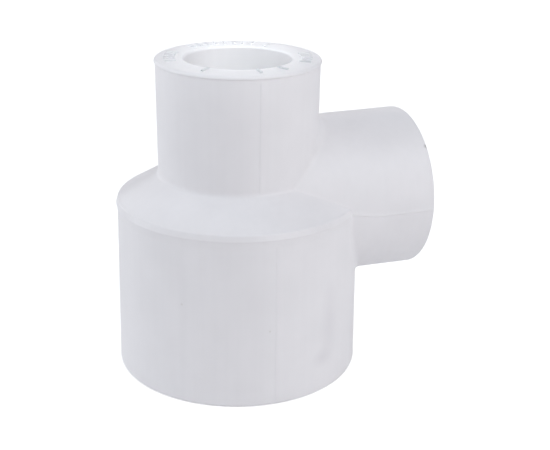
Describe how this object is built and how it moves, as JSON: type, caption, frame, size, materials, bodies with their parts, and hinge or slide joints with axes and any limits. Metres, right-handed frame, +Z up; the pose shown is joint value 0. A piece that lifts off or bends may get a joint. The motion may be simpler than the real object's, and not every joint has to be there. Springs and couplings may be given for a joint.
{
  "type": "reducing pipe tee",
  "caption": "White plastic reducing tee for socket fusion: a wide socket below, a conical shoulder, a narrow socket above and a narrow side branch.",
  "frame": {"origin": "centre of the large socket's mouth, on the run axis, in the plane of the lower rim", "axes": "+Z up the run axis from the large socket to the small run socket, +X out along the branch"},
  "size_m": [0.0562, 0.0452, 0.0582],
  "materials": {
    "white_polypropylene": "semi-gloss, as moulded"
  },
  "bodies": {
    "root": {"large_run_socket": "white_polypropylene", "lower_body": "white_polypropylene", "upper_body": "white_polypropylene", "small_run_socket": "white_polypropylene", "branch_socket": "white_polypropylene", "run_rim_marks": "white_polypropylene", "branch_rim_marks": "white_polypropylene"}
  },
  "joints": []
}
